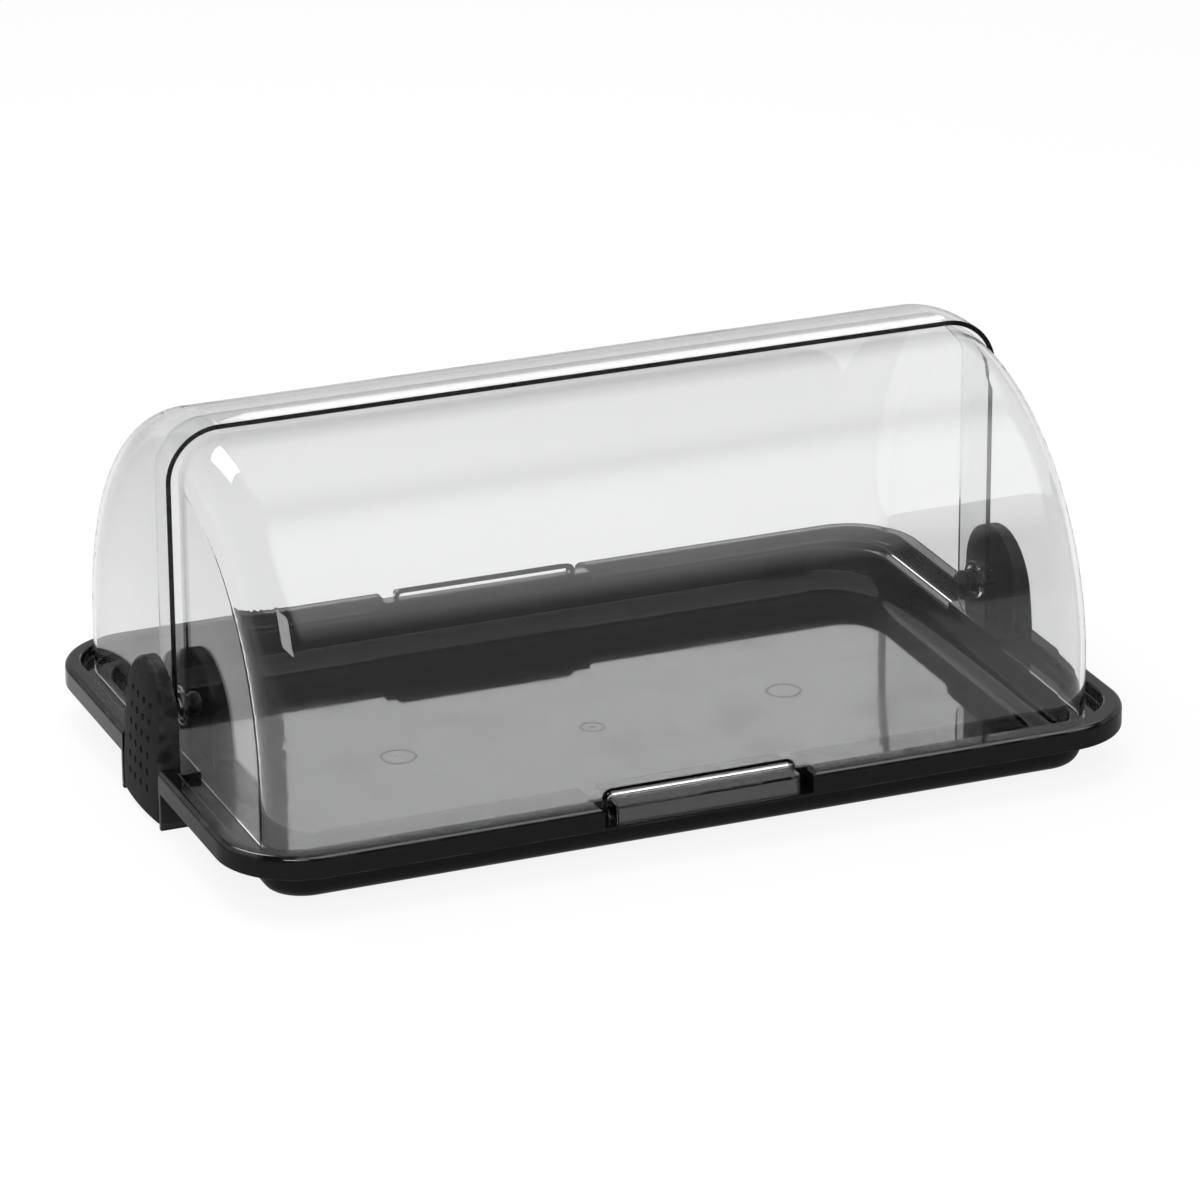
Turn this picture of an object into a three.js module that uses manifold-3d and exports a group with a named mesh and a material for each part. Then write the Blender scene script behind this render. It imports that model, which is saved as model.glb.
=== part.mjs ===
// Buffet display case: a black tray with two clear roll-top covers that nest inside each other.
// Both covers turn about one axis, on two pins held by upright brackets at the ends of the tray.
// Frame: origin in the middle of the base on the table, +X along the case, +Y to the rear, +Z up.

import * as THREE from "three";
import { mergeVertices } from "three/addons/utils/BufferGeometryUtils.js";
import Module from "manifold-3d";

const wasm = await Module();
wasm.setup();

// Driving dimensions in millimetres

// Covers
const frontCoverHalfLength = 258;
const frontCoverRadius = 168;
const frontCoverFillet = 28;
const coverWall = 3;
const coverEndGap = 2.3;
const coverArcGap = 1.5;
const rearFilletGrowth = 5;
const frontCoverRearEdge = 24;
const rearCoverFrontEdge = 6.7;
const pivotRise = 32;
const coverSeatGap = 0.5;

// Tray
const floorThickness = 2.8;
const trayWall = 3;
const ledgeHeight = 29;
const rimRise = 8;
const skirtHeight = 14;
const rimCorner = 49;
const rimEdgeRound = 1.5;
const sideRimWidth = 10.5;
const rearRimWidth = 9.15;
const swingClearance = 1.5;
const channelCorner = 38;
const wellInset = 0.5;
const wellCorner = 40;
const wellDraft = 0.5;
const wellEndRound = 12;
const wellSideRound = 17;
const wellRoundHeight = 14;
const bodyCorner = 29;
const bodyEndRound = 8;
const bodySideRound = 16.5;
const bodyRoundHeight = 16;

// Handles, one on each cover, and the seats for them in the rim
const handleHalfWidth = 57.5;
const handleWall = 2.2;
const handleBottomRise = 2.4;
const handleRootRise = 1.4;
const handleTopDrop = 1.5;
const handleRound = 3;
const handleClearance = 0.6;
const seatGap = 7.5;
const seatShelf = 1.8;
const seatRound = 5;
const blockWall = 2;

// Hinge brackets and the sockets that hold them
const bracketHalfWidth = 32.5;
const bracketDepth = 14;
const bracketCoverGap = 5.2;
const bracketFootGap = 1.5;
const bracketFootRound = 4;
const bracketEdgeRound = 3;
const bracketDome = 2;
const bracketLean = 7;
const bracketFit = 0.5;
const bracketBackFit = 0.3;
const dimplePitch = 10.3;
const dimpleRowPitch = 10.2;
const dimpleRadius = 2.4;
const dimpleDepth = 1.4;
const dimpleLowestRow = 19.4;
const dimpleRows = 6;
const dimpleColumns = 4;

// Hinge pins
const shankRadius = 3.8;
const shankDepth = 8.2;
const coverHoleClearance = 0.35;
const bracketBoreClearance = 0.3;
const flangeRadius = 7.3;
const flangeThickness = 2.4;
const flangeChamfer = 0.6;
const flangeGap = 0.4;
const neckRadius = 5.6;
const neckLength = 1.2;
const headRadius = 7;
const headLength = 9.5;
const bossInnerRadius = 8.3;
const bossOuterRadius = 11.5;
const bossHeight = 2;

// One overrun for every cut
const overrun = 5;

// Fineness of round stretches, as numbers of steps
const archSteps = 60;
const filletSteps = 5;
const cornerSteps = 10;
const roundSteps = 5;
const smallRoundSteps = 3;
const bracketArchSteps = 20;
const bracketSideSteps = 6;
const domeSteps = 4;
const domeShare = 0.85;
const leastRoundShare = 0.05;
const pinSteps = 24;
const dimpleSteps = 10;

// Sizes that follow
const rimTop = ledgeHeight + rimRise;
const skirtBottom = rimTop - skirtHeight;
const coverBottom = ledgeHeight + coverSeatGap;
const pivotHeight = coverBottom + pivotRise;
const rearCoverHalfLength = frontCoverHalfLength + coverEndGap + coverWall;
const rearCoverRadius = frontCoverRadius + coverArcGap + coverWall;
const rearCoverFillet = frontCoverFillet + rearFilletGrowth;
const bracketInnerFace = rearCoverHalfLength + bracketCoverGap;
const trayHalfLength = bracketInnerFace + bracketDepth;

// How far out a cover's lower edge swings where it passes the top of the rim
function swingReach(radius) {
  return Math.sqrt(radius ** 2 + pivotRise ** 2 - (pivotHeight - rimTop) ** 2);
}

const frontChannelWall = swingReach(frontCoverRadius) + swingClearance;
const rearChannelWall = swingReach(rearCoverRadius) + swingClearance;
const trayHalfDepth = rearChannelWall + rearRimWidth;
const rimOutline = {
  x: trayHalfLength,
  front: trayHalfDepth,
  rear: trayHalfDepth,
  corner: rimCorner,
};
const channelOutline = {
  x: trayHalfLength - sideRimWidth,
  front: frontChannelWall,
  rear: rearChannelWall,
  corner: channelCorner,
};
const wellOutline = {
  x: frontCoverHalfLength - coverWall - wellInset,
  front: frontCoverRadius - coverWall - wellInset,
  rear: frontCoverRadius - coverWall - wellInset,
  corner: wellCorner,
};

// Each cover with the side of the case that it closes: -1 for the front, 1 for the rear
const frontCover = {
  side: -1,
  halfLength: frontCoverHalfLength,
  radius: frontCoverRadius,
  fillet: frontCoverFillet,
  openEdge: frontCoverRearEdge,
  channelWall: frontChannelWall,
};
const rearCover = {
  side: 1,
  halfLength: rearCoverHalfLength,
  radius: rearCoverRadius,
  fillet: rearCoverFillet,
  openEdge: rearCoverFrontEdge,
  channelWall: rearChannelWall,
};

// Solids from three.js geometry

function toSolid(geometry) {
  const bare = geometry.index ? geometry.toNonIndexed() : geometry.clone();
  bare.deleteAttribute("normal");
  bare.deleteAttribute("uv");
  const merged = mergeVertices(bare);
  const corners = merged.index.array;
  const kept = [];
  for (let i = 0; i < corners.length; i += 3) {
    const [a, b, c] = [corners[i], corners[i + 1], corners[i + 2]];
    if (a !== b && b !== c && c !== a) kept.push(a, b, c);
  }
  return new wasm.Manifold(new wasm.Mesh({
    numProp: 3,
    vertProperties: new Float32Array(merged.attributes.position.array),
    triVerts: new Uint32Array(kept),
  }));
}

function toMesh(name, solid, material) {
  const cut = solid.getMesh();
  const geometry = new THREE.BufferGeometry();
  geometry.setAttribute("position", new THREE.BufferAttribute(cut.vertProperties, 3));
  geometry.setIndex(new THREE.BufferAttribute(cut.triVerts, 1));
  geometry.computeVertexNormals();
  const mesh = new THREE.Mesh(geometry, material);
  mesh.name = name;
  return mesh;
}

// Closed body through a stack of rings with equal numbers of points, each seen anticlockwise
// from the end of the stack
function loft(rings) {
  const count = rings[0].length;
  const positions = rings.flat().flatMap((p) => [p.x, p.y, p.z]);
  const faces = [];
  for (let i = 0; i + 1 < rings.length; i += 1) {
    for (let j = 0; j < count; j += 1) {
      const a = i * count + j;
      const b = i * count + ((j + 1) % count);
      faces.push(a, b, b + count, a, b + count, a + count);
    }
  }
  for (const ring of [rings[0], rings[rings.length - 1]]) {
    const middle = new THREE.Vector3();
    for (const p of ring) middle.addScaledVector(p, 1 / count);
    const centre = positions.length / 3;
    positions.push(middle.x, middle.y, middle.z);
    const last = ring !== rings[0];
    const start = last ? (rings.length - 1) * count : 0;
    for (let j = 0; j < count; j += 1) {
      const a = start + j;
      const b = start + ((j + 1) % count);
      if (last) faces.push(centre, a, b);
      else faces.push(centre, b, a);
    }
  }
  const geometry = new THREE.BufferGeometry();
  geometry.setAttribute("position", new THREE.Float32BufferAttribute(positions, 3));
  geometry.setIndex(faces);
  return toSolid(geometry);
}

// Box between two corners given in any order
function box(from, to) {
  const bounds = new THREE.Box3().setFromPoints([new THREE.Vector3(...from), new THREE.Vector3(...to)]);
  const size = bounds.getSize(new THREE.Vector3());
  const middle = bounds.getCenter(new THREE.Vector3());
  return toSolid(new THREE.BoxGeometry(size.x, size.y, size.z).translate(middle.x, middle.y, middle.z));
}

// Round bar along X from one place to another
function barX(radius, from, to, y, z, steps) {
  const geometry = new THREE.CylinderGeometry(radius, radius, to - from, steps);
  geometry.rotateZ(-Math.PI / 2);
  geometry.translate((from + to) / 2, y, z);
  return toSolid(geometry);
}

// Flat outline carried as far below its plane as above it
function extrude(points, halfDepth) {
  const shape = new THREE.Shape(points);
  const geometry = new THREE.ExtrudeGeometry(shape, { depth: 2 * halfDepth, bevelEnabled: false });
  return geometry.translate(0, 0, -halfDepth);
}

// Outline of (y, z) points carried along X, as far to the left as to the right
function extrudeX(points, halfWidth) {
  const axes = new THREE.Matrix4().makeBasis(
    new THREE.Vector3(0, 1, 0),
    new THREE.Vector3(0, 0, 1),
    new THREE.Vector3(1, 0, 0),
  );
  return toSolid(extrude(points, halfWidth).applyMatrix4(axes));
}

// Outline of (x, z) points carried along Y, as far to the front as to the rear
function extrudeY(points, halfDepth) {
  const axes = new THREE.Matrix4().makeBasis(
    new THREE.Vector3(1, 0, 0),
    new THREE.Vector3(0, 0, 1),
    new THREE.Vector3(0, -1, 0),
  );
  return toSolid(extrude(points, halfDepth).applyMatrix4(axes));
}

// Points of an arc in a plane, angles in quarter turns
function arc(centreU, centreV, radius, fromQuarter, toQuarter, steps) {
  const points = [];
  for (let i = 0; i <= steps; i += 1) {
    const angle = (Math.PI / 2) * (fromQuarter + ((toQuarter - fromQuarter) * i) / steps);
    const [u, v] = [radius * Math.cos(angle), radius * Math.sin(angle)];
    points.push(new THREE.Vector2(centreU + u, centreV + v));
  }
  return points;
}

// Rounded rectangle in plan at one height, drawn in by separate amounts along X, along Y and at the
// corners
function planRing(outline, z, insetX, insetY, insetCorner) {
  const radius = outline.corner - insetCorner;
  const x = outline.x - insetX - radius;
  const rear = outline.rear - insetY - radius;
  const front = outline.front - insetY - radius;
  const flat = [
    ...arc(x, rear, radius, 0, 1, cornerSteps),
    ...arc(-x, rear, radius, 1, 2, cornerSteps),
    ...arc(-x, -front, radius, 2, 3, cornerSteps),
    ...arc(x, -front, radius, 3, 4, cornerSteps),
  ];
  return flat.map((p) => new THREE.Vector3(p.x, p.y, z));
}

function evenRing(outline, z, inset) {
  return planRing(outline, z, inset, inset, inset);
}

// Tray

function makeRim() {
  const rings = [evenRing(rimOutline, skirtBottom, 0)];
  for (let i = 0; i <= smallRoundSteps; i += 1) {
    const angle = ((Math.PI / 2) * i) / smallRoundSteps;
    const z = rimTop - rimEdgeRound * (1 - Math.sin(angle));
    rings.push(evenRing(rimOutline, z, rimEdgeRound * (1 - Math.cos(angle))));
  }
  return loft(rings);
}

// Bowl shape with rounded lower edges, used for the outside and the inside of the tray's body
function makeBowl(outline, bottom, roundHeight, endRound, sideRound, draft, tops) {
  const rings = [];
  for (let i = 0; i <= roundSteps; i += 1) {
    const angle = ((Math.PI / 2) * i) / roundSteps;
    const inward = 1 - Math.sin(angle);
    const insetX = draft + endRound * inward;
    const insetY = draft + sideRound * inward;
    const insetCorner = (insetX + insetY) / 2;
    const z = bottom + roundHeight * (1 - Math.cos(angle));
    rings.push(planRing(outline, z, insetX, insetY, insetCorner));
  }
  for (const top of tops) rings.push(evenRing(outline, top, 0));
  return loft(rings);
}

// Stretch of rim, filled, that the handle's seat is cut from
function makeSeatBlank(cover, rim) {
  const halfWidth = handleHalfWidth + seatGap + trayWall;
  const inner = cover.side * wellOutline.front;
  const outer = cover.side * (trayHalfDepth + overrun);
  return box([-halfWidth, inner, skirtBottom], [halfWidth, outer, rimTop]).intersect(rim);
}

// Opening in the rim between two rounded rim ends
function makeSeatCut(cover) {
  const low = skirtBottom + seatShelf;
  const half = handleHalfWidth + seatGap;
  const roundStart = rimTop - seatRound;
  const right = arc(half + seatRound, roundStart, seatRound, 2, 1, smallRoundSteps);
  const left = arc(-half - seatRound, roundStart, seatRound, 1, 0, smallRoundSteps);
  const outline = [
    new THREE.Vector2(-half, low),
    new THREE.Vector2(half, low),
    ...right,
    new THREE.Vector2(half + seatRound, rimTop + overrun),
    new THREE.Vector2(-half - seatRound, rimTop + overrun),
    ...left,
  ];
  const reach = trayHalfDepth + overrun;
  const far = half + seatRound + overrun;
  const stretch = box(
    [-far, cover.side * cover.channelWall, skirtBottom - overrun],
    [far, cover.side * reach, rimTop + 2 * overrun],
  );
  return extrudeY(outline, reach).intersect(stretch);
}

// Block inside the handle, a low hollow stretch of rim
function makeBlock(cover) {
  const inner = cover.channelWall;
  const outer = trayHalfDepth - handleWall - handleClearance;
  const halfWidth = handleHalfWidth - handleWall - handleClearance;
  const topInner = rimTop + handleRootRise - handleWall - handleClearance;
  const topOuter = topInner - handleTopDrop;
  const side = cover.side;
  const profile = [
    new THREE.Vector2(side * inner, skirtBottom),
    new THREE.Vector2(side * outer, skirtBottom),
    new THREE.Vector2(side * outer, topOuter - blockWall),
    new THREE.Vector2(side * (outer - blockWall), topOuter),
    new THREE.Vector2(side * inner, topInner),
  ];
  const bevelled = [
    new THREE.Vector2(-halfWidth, skirtBottom - overrun),
    new THREE.Vector2(halfWidth, skirtBottom - overrun),
    new THREE.Vector2(halfWidth, topOuter - handleRound),
    new THREE.Vector2(halfWidth - handleRound, topInner + handleClearance),
    new THREE.Vector2(-halfWidth + handleRound, topInner + handleClearance),
    new THREE.Vector2(-halfWidth, topOuter - handleRound),
  ];
  return extrudeX(profile, halfWidth + overrun).intersect(extrudeY(bevelled, trayHalfDepth + overrun));
}

// Room under the block
function makeBlockHollow(cover) {
  const outer = trayHalfDepth - handleWall - handleClearance - blockWall;
  const halfWidth = handleHalfWidth - handleWall - handleClearance - handleRound - blockWall;
  const top = rimTop + handleRootRise - handleWall - handleClearance - handleTopDrop - 2 * blockWall;
  return box(
    [-halfWidth, cover.side * (cover.channelWall + blockWall), skirtBottom - overrun],
    [halfWidth, cover.side * outer, top],
  );
}

const socketHalfWidth = bracketHalfWidth + bracketFit;
const socketBack = bracketInnerFace - bracketBackFit;

// Two upright plates and a back wall under the rim at one end, side -1 or 1
function makeSocket(side) {
  const outerHalf = socketHalfWidth + trayWall;
  const top = rimTop - rimEdgeRound;
  return box([side * wellOutline.x, -outerHalf, 0], [side * trayHalfLength, outerHalf, top]);
}

// The bracket's room, open outwards, upwards and downwards, and the room behind the socket's back wall
function makeSocketCut(side) {
  const pocket = box(
    [side * socketBack, -socketHalfWidth, -overrun],
    [side * (trayHalfLength + overrun), socketHalfWidth, rimTop + overrun],
  );
  const behind = box(
    [side * (wellOutline.x + trayWall), -socketHalfWidth, -overrun],
    [side * (socketBack - trayWall), socketHalfWidth, ledgeHeight - trayWall],
  );
  return pocket.add(behind);
}

function makeTray() {
  const rim = makeRim();
  const underRim = loft([
    evenRing(rimOutline, skirtBottom - overrun, trayWall),
    evenRing(rimOutline, rimTop - trayWall, trayWall),
  ]);
  const trough = loft([
    evenRing(channelOutline, ledgeHeight - trayWall, -trayWall),
    evenRing(channelOutline, rimTop - trayWall / 2, -trayWall),
  ]);
  const bodyOutline = {
    x: wellOutline.x + trayWall,
    front: wellOutline.front + trayWall,
    rear: wellOutline.rear + trayWall,
    corner: bodyCorner,
  };
  const bodyTop = ledgeHeight - trayWall / 2;
  const body = makeBowl(bodyOutline, 0, bodyRoundHeight, bodyEndRound, bodySideRound, 0, [bodyTop]);
  const channel = loft([
    evenRing(channelOutline, ledgeHeight, 0),
    evenRing(channelOutline, rimTop + overrun, 0),
  ]);
  const mouth = [ledgeHeight, rimTop];
  const well = makeBowl(
    wellOutline, floorThickness, wellRoundHeight, wellEndRound, wellSideRound, wellDraft, mouth,
  );
  let tray = rim.subtract(underRim).add(trough).add(body);
  for (const side of [-1, 1]) {
    tray = tray.add(makeSocket(side)).subtract(makeSocketCut(side));
  }
  for (const cover of [frontCover, rearCover]) {
    tray = tray.add(makeSeatBlank(cover, rim)).subtract(makeSeatCut(cover));
    tray = tray.add(makeBlock(cover)).subtract(makeBlockHollow(cover));
  }
  return tray.subtract(channel).subtract(well);
}

// Covers

// Loaf shape: round arch on top, straight walls below the pivot, rounded where the walls meet the ends
function makeLoaf(halfLength, radius, fillet, bottom) {
  const section = (x, r) => {
    const arch = arc(0, pivotHeight, r, 0, 2, archSteps);
    const points = [new THREE.Vector2(r, bottom), ...arch, new THREE.Vector2(-r, bottom)];
    return points.map((p) => new THREE.Vector3(x, p.x, p.y));
  };
  const rings = [];
  for (const end of [-1, 1]) {
    for (let i = 0; i <= filletSteps; i += 1) {
      const step = end < 0 ? i : filletSteps - i;
      const angle = ((Math.PI / 2) * step) / filletSteps;
      const x = end * (halfLength - fillet + fillet * Math.cos(angle));
      rings.push(section(x, radius - fillet + fillet * Math.sin(angle)));
    }
  }
  return loft(rings);
}

// Handle: a hood that stands out from the cover's wall and closes over the block in the rim
function makeHandle(cover) {
  const side = cover.side;
  const root = cover.radius - coverWall / 2;
  const front = trayHalfDepth;
  const bottom = skirtBottom + handleBottomRise;
  const topInner = rimTop + handleRootRise;
  const topOuter = topInner - handleTopDrop;
  const rootTop = topInner + handleRound;
  const outerEdge = arc(front - handleRound, topOuter - handleRound, handleRound, 0, 1, smallRoundSteps);
  const rootEdge = arc(cover.radius + handleRound, rootTop, handleRound, 3, 2, smallRoundSteps);
  const profile = [
    new THREE.Vector2(root, bottom),
    new THREE.Vector2(front, bottom),
    ...outerEdge,
    ...rootEdge,
    new THREE.Vector2(root, rootTop),
  ];
  const faced = profile.map((p) => new THREE.Vector2(side * p.x, p.y));
  const high = topInner + 2 * handleRound;
  const shoulder = handleHalfWidth - handleRound;
  const outline = [
    new THREE.Vector2(-handleHalfWidth, bottom - overrun),
    new THREE.Vector2(handleHalfWidth, bottom - overrun),
    ...arc(shoulder, topInner - handleRound, handleRound, 0, 1, smallRoundSteps),
    new THREE.Vector2(shoulder, high),
    new THREE.Vector2(-shoulder, high),
    ...arc(-shoulder, topInner - handleRound, handleRound, 1, 2, smallRoundSteps),
  ];
  const outer = extrudeX(faced, handleHalfWidth).intersect(extrudeY(outline, front + overrun));
  const innerHalf = handleHalfWidth - handleWall;
  const hollow = extrudeX([
    new THREE.Vector2(side * cover.radius, bottom - overrun),
    new THREE.Vector2(side * (front - handleWall), bottom - overrun),
    new THREE.Vector2(side * (front - handleWall), topOuter - handleWall),
    new THREE.Vector2(side * cover.radius, topInner - handleWall),
  ], innerHalf);
  const ledgeRoom = box(
    [-handleHalfWidth - overrun, side * (cover.radius - coverWall - overrun), bottom - overrun],
    [handleHalfWidth + overrun, side * (cover.channelWall + handleClearance), coverBottom],
  );
  return outer.subtract(hollow).subtract(ledgeRoom);
}

// Corner of the end panels outside a circle round the pivot, so that the cover turns clear of the ledge
function makeCornerCut(cover) {
  const open = -cover.side;
  const far = frontCoverRearEdge + overrun;
  const low = coverBottom - overrun;
  const quarter = arc(0, pivotHeight, pivotRise, 3, open > 0 ? 4 : 2, 2 * filletSteps);
  const outline = [
    ...quarter,
    new THREE.Vector2(open * (pivotRise + far), pivotHeight),
    new THREE.Vector2(open * (pivotRise + far), low),
    new THREE.Vector2(0, low),
  ];
  return extrudeX(outline, cover.halfLength + overrun);
}

function makeCover(cover) {
  const outer = makeLoaf(cover.halfLength, cover.radius, cover.fillet, coverBottom);
  const inner = makeLoaf(
    cover.halfLength - coverWall,
    cover.radius - coverWall,
    cover.fillet - coverWall,
    coverBottom - overrun,
  );
  const reach = cover.radius + overrun;
  const length = cover.halfLength + overrun;
  const openHalf = box(
    [-length, -cover.side * cover.openEdge, coverBottom - 2 * overrun],
    [length, -cover.side * reach, pivotHeight + reach],
  );
  const holeRadius = shankRadius + coverHoleClearance;
  const hole = barX(holeRadius, -length, length, 0, pivotHeight, pinSteps);
  return outer
    .subtract(inner)
    .subtract(openHalf)
    .subtract(makeCornerCut(cover))
    .add(makeHandle(cover))
    .subtract(hole);
}

// Raised ring round each pin hole, on the inner face of the front cover's ends
function makeBosses() {
  const face = frontCoverHalfLength - coverWall;
  const rings = [];
  for (const side of [-1, 1]) {
    const from = Math.min(side * (face - bossHeight), side * (face + coverWall / 2));
    const to = from + bossHeight + coverWall / 2;
    const ring = barX(bossOuterRadius, from, to, 0, pivotHeight, pinSteps);
    const cutFrom = side > 0 ? from - overrun : face * side;
    const cutTo = side > 0 ? face : to + overrun;
    rings.push(ring.subtract(barX(bossInnerRadius, cutFrom, cutTo, 0, pivotHeight, pinSteps)));
  }
  return rings[0].add(rings[1]);
}

function makeFrontCover() {
  const length = frontCoverHalfLength + overrun;
  const holeRadius = shankRadius + coverHoleClearance;
  const hole = barX(holeRadius, -length, length, 0, pivotHeight, pinSteps);
  return makeCover(frontCover).add(makeBosses()).subtract(hole);
}

// Brackets, drawn for the right end and turned round for the left

const bracketTop = pivotHeight + bracketHalfWidth;
const leanRadius = (bracketTop ** 2 + bracketLean ** 2) / (2 * bracketLean);

// How far the face stands out beyond the tray's end: domed along its middle line, leaning in towards the top
function faceRise(y, z) {
  const lean = leanRadius - Math.sqrt(leanRadius ** 2 - z ** 2);
  return bracketDome * (1 - (y / bracketHalfWidth) ** 2) - lean;
}

// Points between the two ends of a straight stretch
function between(from, to) {
  const points = [];
  for (let i = 1; i < bracketSideSteps; i += 1) points.push(from.clone().lerp(to, i / bracketSideSteps));
  return points;
}

// Tombstone outline at one place along X, drawn in evenly, following the face by a share
function bracketRing(x, inset, share) {
  const half = bracketHalfWidth - inset;
  const foot = bracketFootGap + inset;
  const round = Math.max(bracketFootRound - inset, bracketFootRound * leastRoundShare);
  const rightFoot = arc(half - round, foot + round, round, 3, 4, smallRoundSteps);
  const arch = arc(0, pivotHeight, half, 0, 2, bracketArchSteps);
  const leftFoot = arc(-half + round, foot + round, round, 2, 3, smallRoundSteps);
  const points = [
    ...rightFoot,
    ...between(rightFoot[rightFoot.length - 1], arch[0]),
    ...arch,
    ...between(arch[arch.length - 1], leftFoot[0]),
    ...leftFoot,
    ...between(leftFoot[leftFoot.length - 1], rightFoot[0]),
  ];
  return points.map((p) => new THREE.Vector3(x + share * faceRise(p.x, p.y), p.x, p.y));
}

function makeBracket() {
  const edge = bracketInnerFace + bracketDepth;
  const rings = [bracketRing(bracketInnerFace, 0, 0)];
  for (let i = 0; i <= smallRoundSteps; i += 1) {
    const angle = ((Math.PI / 2) * i) / smallRoundSteps;
    const inset = bracketEdgeRound * (1 - Math.cos(angle));
    rings.push(bracketRing(edge - bracketEdgeRound * (1 - Math.sin(angle)), inset, 1));
  }
  for (let i = 1; i <= domeSteps; i += 1) {
    const inset = bracketEdgeRound + (bracketHalfWidth - bracketEdgeRound) * domeShare * (i / domeSteps);
    rings.push(bracketRing(edge, inset, 1));
  }
  let bracket = loft(rings);
  const middle = (dimpleColumns - 1) / 2;
  for (let column = 0; column < dimpleColumns; column += 1) {
    const outerColumn = column === 0 || column === dimpleColumns - 1;
    const rows = outerColumn ? dimpleRows - 1 : dimpleRows;
    for (let row = 0; row < rows; row += 1) {
      const y = (column - middle) * dimplePitch;
      const z = dimpleLowestRow + row * dimpleRowPitch;
      const bottom = edge + faceRise(y, z) - dimpleDepth;
      bracket = bracket.subtract(barX(dimpleRadius, bottom, edge + overrun, y, z, dimpleSteps));
    }
  }
  const boreEnd = bracketInnerFace + shankDepth + bracketBoreClearance;
  const boreRadius = shankRadius + bracketBoreClearance;
  const boreStart = bracketInnerFace - overrun;
  return bracket.subtract(barX(boreRadius, boreStart, boreEnd, 0, pivotHeight, pinSteps));
}

// Hinge pin for the right end: knob, neck, flange and shank, turned about its own axis
function makePin() {
  const flangeBack = frontCoverHalfLength - coverWall - flangeGap;
  const flangeFront = flangeBack - flangeThickness;
  const neckFront = flangeFront - neckLength;
  const headCentre = neckFront - headLength / 2;
  const shankEnd = bracketInnerFace + shankDepth;
  const profile = [new THREE.Vector2(0, shankEnd), new THREE.Vector2(shankRadius, shankEnd)];
  profile.push(new THREE.Vector2(shankRadius, flangeBack));
  profile.push(new THREE.Vector2(flangeRadius, flangeBack));
  profile.push(new THREE.Vector2(flangeRadius, flangeFront + flangeChamfer));
  profile.push(new THREE.Vector2(flangeRadius - flangeChamfer, flangeFront));
  profile.push(new THREE.Vector2(neckRadius, flangeFront));
  const headSteps = roundSteps + smallRoundSteps;
  const neckAngle = Math.asin(neckRadius / headRadius);
  for (let i = 0; i <= headSteps; i += 1) {
    const angle = neckAngle + ((Math.PI - neckAngle) * i) / headSteps;
    const radius = i === headSteps ? 0 : headRadius * Math.sin(angle);
    profile.push(new THREE.Vector2(radius, headCentre + (headLength / 2) * Math.cos(angle)));
  }
  const geometry = new THREE.LatheGeometry(profile.reverse(), pinSteps);
  geometry.rotateZ(-Math.PI / 2);
  geometry.translate(0, 0, pivotHeight);
  return toSolid(geometry);
}

// Materials

const glossBlack = new THREE.MeshStandardMaterial({ color: 0x0b0b0c, roughness: 0.15, metalness: 0 });
const mattBlack = new THREE.MeshStandardMaterial({ color: 0x1a1a1b, roughness: 0.6, metalness: 0 });
const clear = new THREE.MeshStandardMaterial({
  color: 0xf2f5f6, roughness: 0.05, metalness: 0, transparent: true, opacity: 0.3,
});

// Assembly

const group = new THREE.Group();
group.add(toMesh("tray", makeTray(), glossBlack.clone()));
group.add(toMesh("front_cover", makeFrontCover(), clear.clone()));
group.add(toMesh("rear_cover", makeCover(rearCover), clear.clone()));
for (const [name, turn] of [["right", 0], ["left", Math.PI]]) {
  const bracket = toMesh(`${name}_bracket`, makeBracket(), mattBlack.clone());
  const pin = toMesh(`${name}_hinge_pin`, makePin(), mattBlack.clone());
  bracket.rotation.z = turn;
  pin.rotation.z = turn;
  group.add(bracket, pin);
}

export default group;
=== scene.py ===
# %% [markdown]
# # A roll-top buffet display case
# A black moulded tray, two clear half-drum covers that nest as they turn, two matt end brackets and two
# hinge pins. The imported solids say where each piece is. This lesson builds the finer pieces round them.
# Everything is in metres: X along the case, Y to the rear, Z up.

# %% Load the frame
import math

import bmesh
import bpy
from mathutils import Matrix, Vector


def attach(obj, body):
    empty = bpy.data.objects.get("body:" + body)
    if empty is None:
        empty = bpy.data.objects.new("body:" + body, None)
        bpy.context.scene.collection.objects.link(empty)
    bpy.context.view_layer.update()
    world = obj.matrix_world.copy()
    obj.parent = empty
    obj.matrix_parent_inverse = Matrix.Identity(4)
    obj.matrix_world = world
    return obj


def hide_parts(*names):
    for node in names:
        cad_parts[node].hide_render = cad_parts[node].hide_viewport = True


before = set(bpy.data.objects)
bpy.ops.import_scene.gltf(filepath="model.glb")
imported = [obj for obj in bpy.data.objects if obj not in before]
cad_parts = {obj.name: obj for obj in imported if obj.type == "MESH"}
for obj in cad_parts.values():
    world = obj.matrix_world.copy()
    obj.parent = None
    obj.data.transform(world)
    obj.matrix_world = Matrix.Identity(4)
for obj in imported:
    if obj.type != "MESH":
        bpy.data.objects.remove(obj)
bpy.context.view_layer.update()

MM = 0.001

# %% [markdown]
# ## The camera
# The photograph was taken with a long lens from the left, a little above the case. A camera is a place, a
# direction and a focal length. All three came from straight edges of the real case, so they are given as
# numbers: turning and tilting are easier to read than a matrix.

# %% Camera
LENS_PX = 6171.9
FRAME_PX = 1200
SENSOR = 36.0
EYE = Vector((-1285.1, -3166.9, 1440.8)) * MM
TURN, TILT, ROLL = (math.radians(angle) for angle in (-22.207, 21.604, -0.33))


def look(turn, tilt, roll):
    """Rotation of a camera that looks down its own -Z."""
    back = Vector((math.sin(turn) * math.cos(tilt), -math.cos(turn) * math.cos(tilt), math.sin(tilt)))
    right = Vector((math.cos(turn), math.sin(turn), 0))
    up = back.cross(right)
    cosine, sine = math.cos(roll), math.sin(roll)
    return Matrix((cosine * right + sine * up, cosine * up - sine * right, back)).transposed()


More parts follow.
